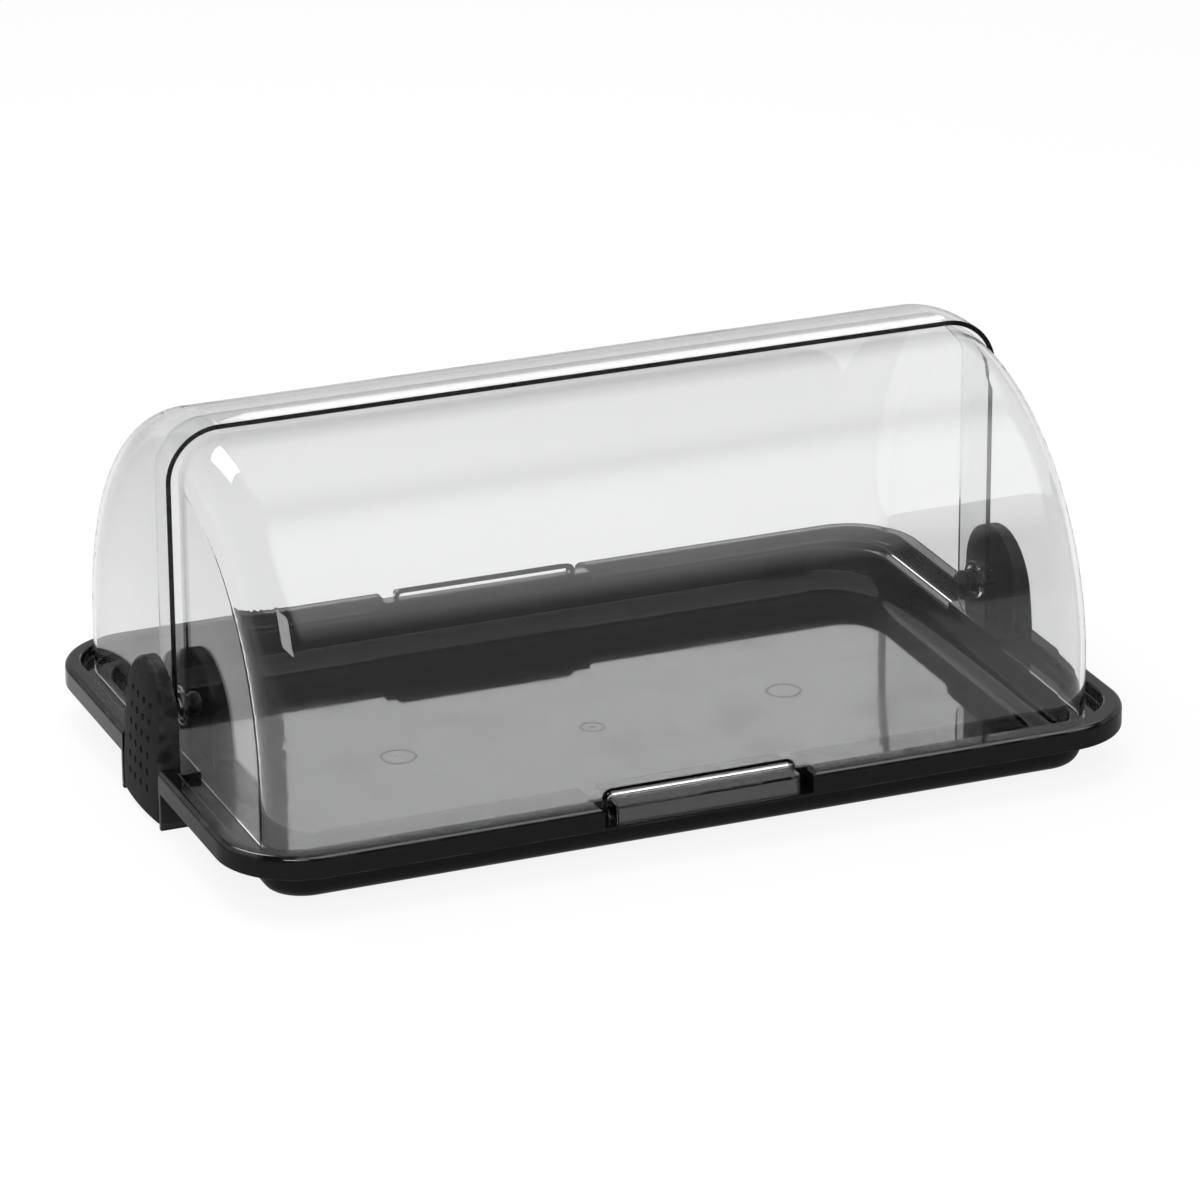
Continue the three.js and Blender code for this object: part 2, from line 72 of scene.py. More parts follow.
camera_data = bpy.data.cameras.new("case_camera")
camera_data.sensor_width = SENSOR
camera_data.lens = LENS_PX / FRAME_PX * SENSOR
camera_data.clip_end = 50
camera = bpy.data.objects.new("case_camera", camera_data)
bpy.context.scene.collection.objects.link(camera)
camera.matrix_world = Matrix.Translation(EYE) @ look(TURN, TILT, ROLL).to_4x4()
bpy.context.scene.camera = camera
print("lens", round(camera_data.lens, 2), "mm")

# %% [markdown]
# ## Node sums
# Patterns are written as sums. A small class stands for one socket of a node tree, and each sign between
# two of them adds a Math node. Every other node comes from one function that sets its settings first.

# %% Node helper
OPERATIONS = {
    "+": "ADD", "-": "SUBTRACT", "*": "MULTIPLY", "/": "DIVIDE", "<": "LESS_THAN", ">": "GREATER_THAN",
}


class Wire:
    """An output socket that can stand in a sum."""

    def __init__(self, tree, output):
        self.tree = tree
        self.output = output

    def sign(self, mark, first, second):
        return add(self.tree, "ShaderNodeMath", {"operation": OPERATIONS[mark]}, {0: first, 1: second})

    def __add__(self, other):
        return self.sign("+", self, other)

    def __radd__(self, other):
        return self.sign("+", other, self)

    def __sub__(self, other):
        return self.sign("-", self, other)

    def __rsub__(self, other):
        return self.sign("-", other, self)

    def __mul__(self, other):
        return self.sign("*", self, other)

    def __rmul__(self, other):
        return self.sign("*", other, self)

    def __truediv__(self, other):
        return self.sign("/", self, other)

    def __rtruediv__(self, other):
        return self.sign("/", other, self)

    def __lt__(self, other):
        return self.sign("<", self, other)

    def __gt__(self, other):
        return self.sign(">", self, other)

    def part(self, name):
        """Another output of the same node."""
        return Wire(self.tree, self.output.node.outputs[name])

    def maths(self, operation, *others):
        """A Math node that has no sign of its own."""
        return add(self.tree, "ShaderNodeMath", {"operation": operation}, dict(enumerate((self, *others))))


def add(tree, kind, settings=None, sockets=None):
    """One node: its settings first, then its sockets' values or links. Gives its first live output."""
    node = tree.nodes.new(kind)
    for name, value in (settings or {}).items():
        setattr(node, name, value)
    feed(node, sockets or {})
    live = [output for output in node.outputs if output.enabled]
    return Wire(tree, live[0]) if live else node


def feed(node, sockets):
    """Sets a node's sockets, or links them to wires."""
    for name, value in sockets.items():
        if isinstance(value, Wire):
            node.id_data.links.new(value.output, node.inputs[name])
        else:
            node.inputs[name].default_value = value


# %% [markdown]
# ## Mesh helpers
# Most pieces are closed bodies through a stack of rings, as a moulder would draw sections through a part.
# Rings have equal numbers of points, so neighbours join in four-sided faces, and each end gets a cap.
# Bodies are joined and cut with the Boolean modifier, which keeps them closed.

# %% Lofts, boxes and cuts
def new_piece(name, mesh):
    piece = bpy.data.objects.new(name, mesh)
    bpy.context.scene.collection.objects.link(piece)
    return piece


def close(name, body):
    """Turns a mesh under construction into a piece."""
    mesh = bpy.data.meshes.new(name)
    body.to_mesh(mesh)
    body.free()
    return new_piece(name, mesh)


def arc(u, v, radius, start, end, steps):
    """Points of an arc in a plane, angles in quarter turns."""
    angles = [math.pi / 2 * (start + (end - start) * step / steps) for step in range(steps + 1)]
    return [(u + radius * math.cos(angle), v + radius * math.sin(angle)) for angle in angles]


def loft(name, rings):
    """Closed body through rings of points, each anticlockwise seen from the last ring's side."""
    body = bmesh.new()
    made = [[body.verts.new(point) for point in ring] for ring in rings]
    count = len(made[0])
    for low, high in zip(made, made[1:]):
        for here in range(count):
            there = (here + 1) % count
            body.faces.new((low[here], low[there], high[there], high[here]))
    body.faces.new(made[0][::-1])
    body.faces.new(made[-1])
    return close(name, body)


def box(name, low, high, rounding=0.0, steps=4, edges=None):
    """Box between two corners, with chosen edges rounded."""
    body = bmesh.new()
    bmesh.ops.create_cube(body, size=1)
    size = Vector(high) - Vector(low)
    middle = (Vector(high) + Vector(low)) / 2
    for vert in body.verts:
        vert.co = Vector(a * b for a, b in zip(vert.co, size)) + middle
    if rounding:
        chosen = [edge for edge in body.edges if edges is None or edges(*(vert.co for vert in edge.verts))]
        bmesh.ops.bevel(body, geom=chosen, offset=rounding, segments=steps, profile=0.5, affect="EDGES")
    return close(name, body)


def prism(name, outline, axis, low, high):
    """A flat outline of (u, v) points carried along an axis: (y, z) along X, or (x, z) along Y."""
    area = sum(a[0] * b[1] - b[0] * a[1] for a, b in zip(outline, outline[1:] + outline[:1]))
    points = outline if area > 0 else outline[::-1]
    if axis == "X":
        rings = [[(place, u, v) for u, v in points] for place in (low, high)]
    else:
        rings = [[(u, place, v) for u, v in points] for place in (high, low)]
    return loft(name, rings)


def settle(piece):
    """Applies what modifies a piece, so that a plain mesh is left."""
    shape = piece.evaluated_get(bpy.context.evaluated_depsgraph_get())
    mesh = bpy.data.meshes.new_from_object(shape)
    piece.modifiers.clear()
    piece.data = mesh
    return piece


def combine(piece, how, *tools):
    """Joins tools to a piece or cuts them out of it: UNION, DIFFERENCE or INTERSECT."""
    for tool in tools:
        step = piece.modifiers.new("step", "BOOLEAN")
        step.operation = how
        step.solver = "MANIFOLD"
        step.object = tool
        settle(piece)
        bpy.data.objects.remove(tool)
    return piece


def smooth(piece, angle=32):
    """Rounds are shaded smooth, edges sharper than the angle stay crisp, and flat faces stay flat."""
    for face in piece.data.polygons:
        face.use_smooth = True
    piece.data.set_sharp_from_angle(angle=math.radians(angle))
    weigh = piece.modifiers.new("flat faces", "WEIGHTED_NORMAL")
    weigh.keep_sharp = True
    weigh.weight = 100
    return settle(piece)


def tell(piece):
    print(piece.name, len(piece.data.polygons), "faces,", [round(v / MM, 1) for v in piece.dimensions], "mm")


# %% [markdown]
# ## Sizes
# These are the case's own sizes in millimetres, the same ones that the solids were drawn from.

# %% Sizes
PIVOT = 61.5
LEDGE, RIM, SKIRT, COVER_FOOT = 29.0, 37.0, 23.0, 29.5
HALF_DEPTH, HALF_LENGTH = 184.37, 282.5
FRONT = {"side": -1, "length": 258.0, "radius": 168.0, "corner": 28.0, "edge": 24.0, "channel": 170.76}
REAR = {"side": 1, "length": 263.3, "radius": 172.5, "corner": 33.0, "edge": 6.7, "channel": 175.22}
WALL = 3.0
HANDLE_HALF, HANDLE_TOP, HANDLE_DROP, HANDLE_FOOT, HANDLE_WALL = 57.5, 38.4, 1.5, 25.4, 2.2
SHANK, HOLE = 3.8, 4.15
BLOCK_GAP = 0.6
# How far a cutting tool reaches past what it cuts, and how far two joined bodies overlap
PAST, OVERLAP = 5.0, 0.5


def m(*values):
    """Millimetres to metres."""
    return tuple(value * MM for value in values)


# %% [markdown]
# ## The clear covers
# On the real case each cover is one thin-walled shell: an arch with upright feet, rounded into two flat
# end panels. Its shape follows a rule, so Geometry Nodes make it. The tree lays a grid of points on the
# arch: one direction of the grid runs along the case and round the corners, the other over the arch. The
# loaf shape has no hollows, so a hull round the points closes it, and a smaller loaf cuts it hollow.

# %% The loaf rule
COLUMNS_PER_CORNER = 24
ARCH_STEPS = 120


def entry_socket(tree, name, kind):
    """Adds a named input to a node tree. Gives the key under which a modifier keeps its value."""
    return tree.interface.new_socket(name, in_out="INPUT", socket_type="NodeSocket" + kind).identifier


def point_grid(tree, columns, rows):
    """A grid of points, each point's column counted from the middle, and its row counted from 0."""
    grid = add(tree, "GeometryNodeMeshGrid", None,
               {"Size X": columns - 1.0, "Size Y": rows - 1.0, "Vertices X": columns, "Vertices Y": rows})
    place = add(tree, "ShaderNodeSeparateXYZ", None, {0: add(tree, "GeometryNodeInputPosition")})
    return grid, place.part("X"), place.part("Y") + (rows - 1) / 2


def loaf_points(tree, length, radius, corner, foot, pivot):
    """A grid of points moved onto the loaf with that half length, arch radius and corner radius."""
    columns = 2 * (COLUMNS_PER_CORNER + 1)
    rows = ARCH_STEPS + 3
    grid, column, row = point_grid(tree, columns, rows)
    end = column.maths("SIGN")
    turned = (columns - 1) / 2 - column.maths("ABSOLUTE")
    angle = turned / COLUMNS_PER_CORNER * (math.pi / 2)
    x = end * (length - corner + corner * angle.maths("COSINE"))
    reach = radius - corner + corner * angle.maths("SINE")
    over = ((row - 1) / ARCH_STEPS).maths("MAXIMUM", 0.0).maths("MINIMUM", 1.0) * math.pi
    y = reach * over.maths("COSINE")
    low = (row < 0.5) + (row > rows - 1.5)
    z = (1 - low) * (pivot + reach * over.maths("SINE")) + low * foot
    moved = add(tree, "ShaderNodeCombineXYZ", None, {"X": x, "Y": y, "Z": z})
    points = add(tree, "GeometryNodeSetPosition", None, {"Geometry": grid, "Position": moved})
    return add(tree, "GeometryNodeConvexHull", None, {"Geometry": points})


def shell_tree():
    """Node tree of a hollow loaf, open below, with named sizes."""
    tree = bpy.data.node_groups.new("roll_top_shell", "GeometryNodeTree")
    tree.interface.new_socket("Geometry", in_out="OUTPUT", socket_type="NodeSocketGeometry")
    names = ("Half length", "Arch radius", "Corner radius", "Wall", "Foot height", "Pivot height")
    inputs = {name: entry_socket(tree, name, "Float") for name in names}
    inputs["Finish"] = entry_socket(tree, "Finish", "Material")
    entry = add(tree, "NodeGroupInput")
    length, radius, corner, wall, foot, pivot = (entry.part(name) for name in names)
    outer = loaf_points(tree, length, radius, corner, foot, pivot)
    inner = loaf_points(tree, length - wall, radius - wall, corner - wall, foot - 4 * wall, pivot)
    hollow = add(tree, "GeometryNodeMeshBoolean", {"operation": "DIFFERENCE", "solver": "MANIFOLD"},
                 {"Mesh 1": outer, "Mesh 2": inner})
    whole = add(tree, "GeometryNodeRealizeInstances", None, {"Geometry": hollow})
    finished = add(tree, "GeometryNodeSetMaterial", None,
                   {"Geometry": whole, "Material": entry.part("Finish")})
    add(tree, "NodeGroupOutput", None, {"Geometry": finished})
    return tree, inputs


def grow(piece, tree, inputs, values):
    """Runs a node tree on a piece and keeps the mesh that it makes."""
    rule = piece.modifiers.new("rule", "NODES")
    rule.node_group = tree
    for label, value in values.items():
        rule[inputs[label]] = value
    return settle(piece)


clear_finishes = {name: bpy.data.materials.new(name + "_clear") for name in ("front_shell", "rear_shell")}
shell, shell_inputs = shell_tree()
covers = {}
for name, cover in (("front_shell", FRONT), ("rear_shell", REAR)):
    covers[name] = grow(new_piece(name, bpy.data.meshes.new(name)), shell, shell_inputs, {
        "Half length": cover["length"] * MM, "Arch radius": cover["radius"] * MM,
        "Corner radius": cover["corner"] * MM, "Wall": WALL * MM, "Foot height": COVER_FOOT * MM,
        "Pivot height": PIVOT * MM, "Finish": clear_finishes[name],
    })
    tell(covers[name])

# %% [markdown]
# Each cover keeps one half of the drum. The end panels are cut round near the pivot, so that they swing
# clear of the ledge, and a hood-shaped handle stands out at the foot. A hollow quarter round fills the
# corner where hood and wall meet, as the mould does.

# %% Cut and handle the covers
FAR, THROUGH = 400.0, 290.0
CORNER_REACH, CORNER_DROP = 80.0, 10.0
HOOD_ROUND, HOOD_TOP_EDGES = 3.0, 35.0
SLOPE_OUT, SLOPE_UP = 1.0, 9.0
FOOT_TOOL_HALF, FOOT_TOOL_NEAR = 70.0, 150.0
FILLET, FILLET_FOOT, FILLET_SINK, FILLET_SPREAD = 3.0, 33.0, 0.8, 0.4
# The raised ring round a pin hole and the room in it: distance from the case's middle, radius
BOSS = [(253.0, 11.0), (253.2, 11.3), (253.6, 11.5), (256.5, 11.5)]
BOSS_ROOM = [(250.0, 9.0), (253.0, 9.0), (253.3, 8.5), (253.8, 8.3), (255.0, 8.3)]


def corner_tool(cover):
    """What lies below the pivot and outside a circle round it, on the open side of a cover."""
    open_side = -cover["side"]
    low = PIVOT - COVER_FOOT
    quarter = arc(0, PIVOT, low, 3, 4 if open_side > 0 else 2, 24)
    bottom = COVER_FOOT - CORNER_DROP
    outline = [(open_side * CORNER_REACH, PIVOT), (open_side * CORNER_REACH, bottom), (0, bottom)]
    return prism("corner", [m(*point) for point in quarter + outline], "X", -0.3, 0.3)


def slope_tool(side, near, far, top):
    """What lies above a handle's gently sloping top."""
    return prism("slope", [m(side * near, top), m(side * far, top - HANDLE_DROP),
                           m(side * far, top + SLOPE_UP), m(side * near, top + SLOPE_UP)], "X", -0.1, 0.1)


def hood(cover):
    """The handle: rounded hood, hollow from below, with a fillet round its root."""
    side, root, front = cover["side"], cover["radius"] - WALL / 2, HALF_DEPTH
    near, far = sorted((side * root, side * front))
    body = box("hood", m(-HANDLE_HALF, near, HANDLE_FOOT), m(HANDLE_HALF, far, HANDLE_TOP),
               HOOD_ROUND * MM, 6, lambda a, b: hood_edge(a, b, side * front * MM))
    slope = slope_tool(side, root, front + SLOPE_OUT, HANDLE_TOP)
    inner = HANDLE_HALF - HANDLE_WALL
    room = prism("room", [m(side * cover["radius"], 0), m(side * (front - HANDLE_WALL), 0),
                          m(side * (front - HANDLE_WALL), HANDLE_TOP - HANDLE_DROP - HANDLE_WALL),
                          m(side * cover["radius"], HANDLE_TOP - HANDLE_WALL)], "X", -inner * MM, inner * MM)
    near, far = sorted((side * FOOT_TOOL_NEAR, side * (cover["channel"] + BLOCK_GAP)))
    ledge = box("ledge", m(-FOOT_TOOL_HALF, near, 0), m(FOOT_TOOL_HALF, far, COVER_FOOT))
    combine(body, "DIFFERENCE", slope, room)
    return combine(combine(body, "UNION", root_fillet(cover)), "DIFFERENCE", ledge)


def hood_edge(a, b, front):
    """Edges of the hood that get rounded: the outer and end edges at the top and the outer upright ones."""
    nearly = 1e-6
    top = min(a.z, b.z) > HOOD_TOP_EDGES * MM
    outer = abs(a.y - front) < nearly and abs(b.y - front) < nearly
    along_y = abs(a.y - b.y) > nearly
    return (top and (outer or along_y)) or (outer and not top and abs(a.z - b.z) > nearly)


def root_fillet(cover):
    """Concave quarter round in the corner of hood and wall, along the hood's outline."""
    radius, steps = FILLET, 6
    path = [((-HANDLE_HALF, FILLET_FOOT), (-1, 0)), ((-HANDLE_HALF, HANDLE_TOP - radius), (-1, 0))]
    bend = arc(-HANDLE_HALF + radius, HANDLE_TOP - radius, radius, 2, 1, steps)
    path += list(zip(bend, arc(0, 0, 1, 2, 1, steps)))
    path += [((-place[0], place[1]), (-out[0], out[1])) for place, out in path[::-1]]
    profile = [(-FILLET_SPREAD, -FILLET_SINK), (radius, -FILLET_SINK), (radius, 0)]
    profile += arc(radius, radius, radius, 3, 2, steps) + [(-FILLET_SPREAD, radius)]
    rings = []
    for (x, z), (out_x, out_z) in path:
        ring = []
        for out, stand in profile:
            reach = cover["side"] * (cover["radius"] + stand)
            ring.append(m(x + out * out_x, reach, z + out * out_z))
        rings.append(ring if cover["side"] > 0 else ring[::-1])
    return loft("fillet", rings)


def disc(name, stations, end):
    """Round body along X about the pivot, through (x, radius) stations, drawn for one end of the case."""
    rings = []
    for x, radius in stations:
        points = arc(0, PIVOT, radius, 0, 4, 64)[:-1]
        rings.append([m(end * x, y, z) for y, z in points])
    return loft(name, rings if end * (stations[-1][0] - stations[0][0]) > 0 else rings[::-1])


for name, cover in (("front_shell", FRONT), ("rear_shell", REAR)):
    side = cover["side"]
    cut = side * -cover["edge"]
    open_half = box("open half", m(-FAR, min(cut, -side * FAR), 0), m(FAR, max(cut, -side * FAR), FAR))
    combine(covers[name], "DIFFERENCE", open_half, corner_tool(cover))
    combine(covers[name], "UNION", hood(cover))

# A raised ring stands round each pin hole, on the inner face of the front cover's end panels.
for end in (-1, 1):
    combine(covers["front_shell"], "UNION", disc("boss", BOSS, end))
    combine(covers["front_shell"], "DIFFERENCE", disc("boss room", BOSS_ROOM, end))

for name, shell_piece in covers.items():
    combine(shell_piece, "DIFFERENCE", disc("hole", [(-THROUGH, HOLE), (THROUGH, HOLE)], 1))
    shell_piece.data.materials.clear()
    shell_piece.data.materials.append(clear_finishes[name])
    for face in shell_piece.data.polygons:
        face.material_index = 0
    tell(shell_piece)

# %% [markdown]
# ## The tray
# The real tray is one injection moulding about 3 mm thick. Its section is the same all round: skirt, rim,
# a step down to the ledge that the covers stand on, then the wall of the well. So one stack of rounded
# rectangles, from the middle of the underside out to the skirt and back in to the well's floor, draws it.

# %% Tray body
CORNER_STEPS = 16
RIM_OUTLINE = (HALF_LENGTH, HALF_DEPTH, HALF_DEPTH, 49.0)
CHANNEL_OUTLINE = (272.0, 170.76, 175.22, 38.0)
WELL_OUTLINE = (254.5, 164.5, 164.5, 40.0)
BODY_OUTLINE = (257.5, 167.5, 167.5, 29.0)
FLOOR = 2.8
SKIRT_ROUND, SKIRT_BEVEL, RIM_ROUND, STEP_ROUND, STEP_HOLLOW, WELL_ROUND = 0.8, 0.4, 3.5, 1.2, 1.0, 1.5
WELL_DRAFT, WELL_SLOPE = 0.5, 6.0
# Lower edges of the body and of the well: how far they draw in at the ends and the sides, height, steps
BODY_BOWL = (8, 16.5, 16, 10)
WELL_BOWL = (12, 17, 14, 14)


def ring(outline, z, inset_x, inset_y=None):
    """Rounded rectangle at one height, drawn in by some millimetres."""
    inset_y = inset_x if inset_y is None else inset_y
    corner = outline[3] - (inset_x + inset_y) / 2
    x = outline[0] - inset_x - corner
    front, rear = outline[1] - inset_y - corner, outline[2] - inset_y - corner
    spots = [(x, rear, 0), (-x, rear, 1), (-x, -front, 2), (x, -front, 3)]
    return [m(u, v, z) for at_x, at_y, quarter in spots
            for u, v in arc(at_x, at_y, corner, quarter, quarter + 1, CORNER_STEPS)]


def rounding(outline, radius, z, steps, way):
    """Rings round a small edge. The way names it: an outer edge over or under, an inner edge, or a hollow."""
    rings = []
    for step in range(steps + 1):
        angle = math.pi / 2 * step / steps
        rise, run = radius * math.sin(angle), radius * (1 - math.cos(angle))
        if way == "under":
            rings.append(ring(outline, z + run, radius - rise))
        elif way == "over":
            rings.append(ring(outline, z - radius + rise, run))
        elif way == "lip":
            rings.append(ring(outline, z - run, -radius + rise))
        else:
            rings.append(ring(outline, z + radius - rise, run))
    return rings


def bowl(outline, low, high, end_round, side_round, height, steps, down):
    """Rings of a bowl with rounded lower edges, from the top down or from the bottom up."""
    rings = []
    for step in range(steps + 1):
        angle = math.pi / 2 * step / steps
        inward = 1 - math.sin(angle)
        level = low + height * (1 - math.cos(angle))
        rings.append(ring(outline, level, end_round * inward, side_round * inward))
    rings.append(ring(outline, high, 0))
    return rings[::-1] if down else rings


draft_outline = tuple(value - WELL_DRAFT for value in WELL_OUTLINE)
rings = bowl(BODY_OUTLINE, 0, LEDGE - WALL, *BODY_BOWL, False)
rings += [ring(CHANNEL_OUTLINE, LEDGE - WALL, -WALL), ring(CHANNEL_OUTLINE, RIM - WALL, -WALL)]
rings += [ring(RIM_OUTLINE, RIM - WALL, WALL), ring(RIM_OUTLINE, SKIRT + SKIRT_BEVEL, WALL)]
rings += [ring(RIM_OUTLINE, SKIRT, WALL - SKIRT_BEVEL)]
rings += rounding(RIM_OUTLINE, SKIRT_ROUND, SKIRT, 4, "under")
rings += rounding(RIM_OUTLINE, RIM_ROUND, RIM, 10, "over")
rings += rounding(CHANNEL_OUTLINE, STEP_ROUND, RIM, 5, "lip")
rings += rounding(CHANNEL_OUTLINE, STEP_HOLLOW, LEDGE, 4, "hollow")
rings += rounding(WELL_OUTLINE, WELL_ROUND, LEDGE, 5, "lip")
rings += bowl(draft_outline, FLOOR, LEDGE - WELL_SLOPE, *WELL_BOWL, True)
tray = loft("tray_moulding", rings)
tell(tray)

# %% [markdown]
# At each end two upright plates and a back wall hold a bracket. In the middle of the front and the rear
# the rim stops for the handle's seat, with a rounded end on each side, and a low block fills the handle.

# %% Sockets and handle seats
BRACKET_BACK, BRACKET_HALF = 268.5, 32.5
SOCKET_HALF, SOCKET_BACK = 33.0, 268.2
BLOCK_TOP = HANDLE_TOP - HANDLE_WALL - BLOCK_GAP
BLOCK_ROUND, BLOCK_END_WALL, BLOCK_SIDE_WALL, BLOCK_ROOF = 2.0, 5.0, 2.0, 4.0
SEAT_HALF, SEAT_ROUND, SHELF = 65.0, 5.0, 24.8
BLANK_HALF, BLANK_INSET, BLANK_DROP = 68.0, 1.3, 1.2


def across(end, low_x, high_x, half, low_z, high_z):
    """Two corners of a box that lies across one end of the tray."""
    near, far = sorted((end * low_x, end * high_x))
    return m(near, -half, low_z), m(far, half, high_z)


for end in (-1, 1):
    plates = box("plates", *across(end, WELL_OUTLINE[0], HALF_LENGTH, SOCKET_HALF + WALL, 0, RIM - RIM_ROUND),
                 0.5 * MM, 2)
    pocket = box("pocket", *across(end, SOCKET_BACK, HALF_LENGTH + PAST, SOCKET_HALF, -PAST, RIM + PAST))
    behind = box("behind", *across(end, WELL_OUTLINE[0] + WALL, SOCKET_BACK - WALL, SOCKET_HALF, -PAST,
                                   LEDGE - WALL))
    combine(tray, "UNION", plates)
    combine(tray, "DIFFERENCE", pocket, behind)


def seat_tools(cover):
    """Filled stretch of rim, the opening cut from it, the block and the room under the block."""
    side, wall = cover["side"], cover["channel"]

    def depths(near, far):
        return sorted((side * near, side * far))

    near, far = depths(WELL_OUTLINE[1] + 1, HALF_DEPTH - BLANK_INSET)
    blank = box("blank", m(-BLANK_HALF, near, SKIRT), m(BLANK_HALF, far, RIM - BLANK_DROP))
    half = SEAT_HALF + SEAT_ROUND
    outline = [(-SEAT_HALF, SHELF), (SEAT_HALF, SHELF)]
    outline += arc(half, RIM - SEAT_ROUND, SEAT_ROUND, 2, 1, 8) + [(half, RIM + PAST), (-half, RIM + PAST)]
    outline += arc(-half, RIM - SEAT_ROUND, SEAT_ROUND, 1, 0, 8)
    near, far = depths(wall, HALF_DEPTH + PAST)
    opening = prism("opening", [m(*point) for point in outline], "Y", near * MM, far * MM)
    reach = HALF_DEPTH - HANDLE_WALL - BLOCK_GAP
    half = HANDLE_HALF - HANDLE_WALL - BLOCK_GAP
    near, far = depths(wall - OVERLAP, reach)
    block = box("block", m(-half, near, SKIRT + OVERLAP), m(half, far, BLOCK_TOP), BLOCK_ROUND * MM, 4,
                lambda a, b: a.z > 30 * MM and b.z > 30 * MM)
    combine(block, "DIFFERENCE", slope_tool(side, wall, reach + 2, BLOCK_TOP))
    near, far = depths(wall + BLOCK_SIDE_WALL, reach - BLOCK_SIDE_WALL)
    half -= BLOCK_END_WALL
    room = box("room", m(-half, near, SKIRT - PAST), m(half, far, BLOCK_TOP - HANDLE_DROP - BLOCK_ROOF))
    return blank, opening, block, room


for cover in (FRONT, REAR):
    blank, opening, block, room = seat_tools(cover)
    combine(tray, "UNION", blank)
    combine(tray, "DIFFERENCE", opening)
    combine(tray, "UNION", block)
    combine(tray, "DIFFERENCE", room)
tell(tray)

# %% [markdown]
# ## The end brackets
# Each bracket is a tombstone-shaped block of matt plastic with softened edges. Its face bulges a little
# and leans in towards the top. Four columns of round dimples give it grip. The dimples repeat, so Geometry
# Nodes place them: one round tool on a grid of points that follows the face, with the top row left out at
# both sides, cut from the block at once.

# %% Brackets
BRACKET_FACE, BULGE, LEAN, EDGE_ROUND, FOOT_GAP, FOOT_ROUND = 282.5, 2.0, 7.0, 3.0, 1.5, 4.0
LEAN_RADIUS = ((PIVOT + BRACKET_HALF) ** 2 + LEAN ** 2) / (2 * LEAN)
BORE, BORE_DEPTH = SHANK + 0.3, 8.5
DIMPLE_PITCH, ROW_PITCH, DIMPLE_RADIUS, DIMPLE_DEPTH, DIMPLE_LOW = 10.3, 10.2, 2.4, 1.4, 19.4


def face_rise(y, z):
    """How far the face stands out beyond the tray's end."""
    return BULGE * (1 - (y / BRACKET_HALF) ** 2) - LEAN_RADIUS + math.sqrt(LEAN_RADIUS ** 2 - z ** 2)


def stretch(start, end, steps=12):
    """Points between the two ends of a straight line."""
    return [tuple(a + (b - a) * step / steps for a, b in zip(start, end)) for step in range(1, steps)]


LEAST_ROUND, MOST_ROUND = 0.3, 0.9
EDGE_STEPS, FACE_STEPS, FACE_FILLED = 6, 12, 0.995


def tombstone(x, inset, share):
    """Bracket outline at one place along X, following the face by a share."""
    half = BRACKET_HALF - inset
    foot = FOOT_GAP + inset
    soft = min(max(FOOT_ROUND - inset, LEAST_ROUND), half * MOST_ROUND)
    right = arc(half - soft, foot + soft, soft, 3, 4, 6)
    left = arc(-half + soft, foot + soft, soft, 2, 3, 6)
    arch = arc(0, PIVOT, half, 0, 2, 48)
    points = right + stretch(right[-1], arch[0]) + arch
    points += stretch(arch[-1], left[0]) + left + stretch(left[-1], right[0])
    return [m(x + share * face_rise(y, z), y, z) for y, z in points]


def bracket_block(name):
    rings = [tombstone(BRACKET_BACK, 0, 0)]
    for step in range(EDGE_STEPS + 1):
        angle = math.pi / 2 * step / EDGE_STEPS
        inset, short = EDGE_ROUND * (1 - math.cos(angle)), EDGE_ROUND * (1 - math.sin(angle))
        rings.append(tombstone(BRACKET_FACE - short, inset, 1))
    for step in range(1, FACE_STEPS + 1):
        inset = EDGE_ROUND + (BRACKET_HALF - EDGE_ROUND) * FACE_FILLED * step / FACE_STEPS
        rings.append(tombstone(BRACKET_FACE, inset, 1))
    return loft(name, rings)


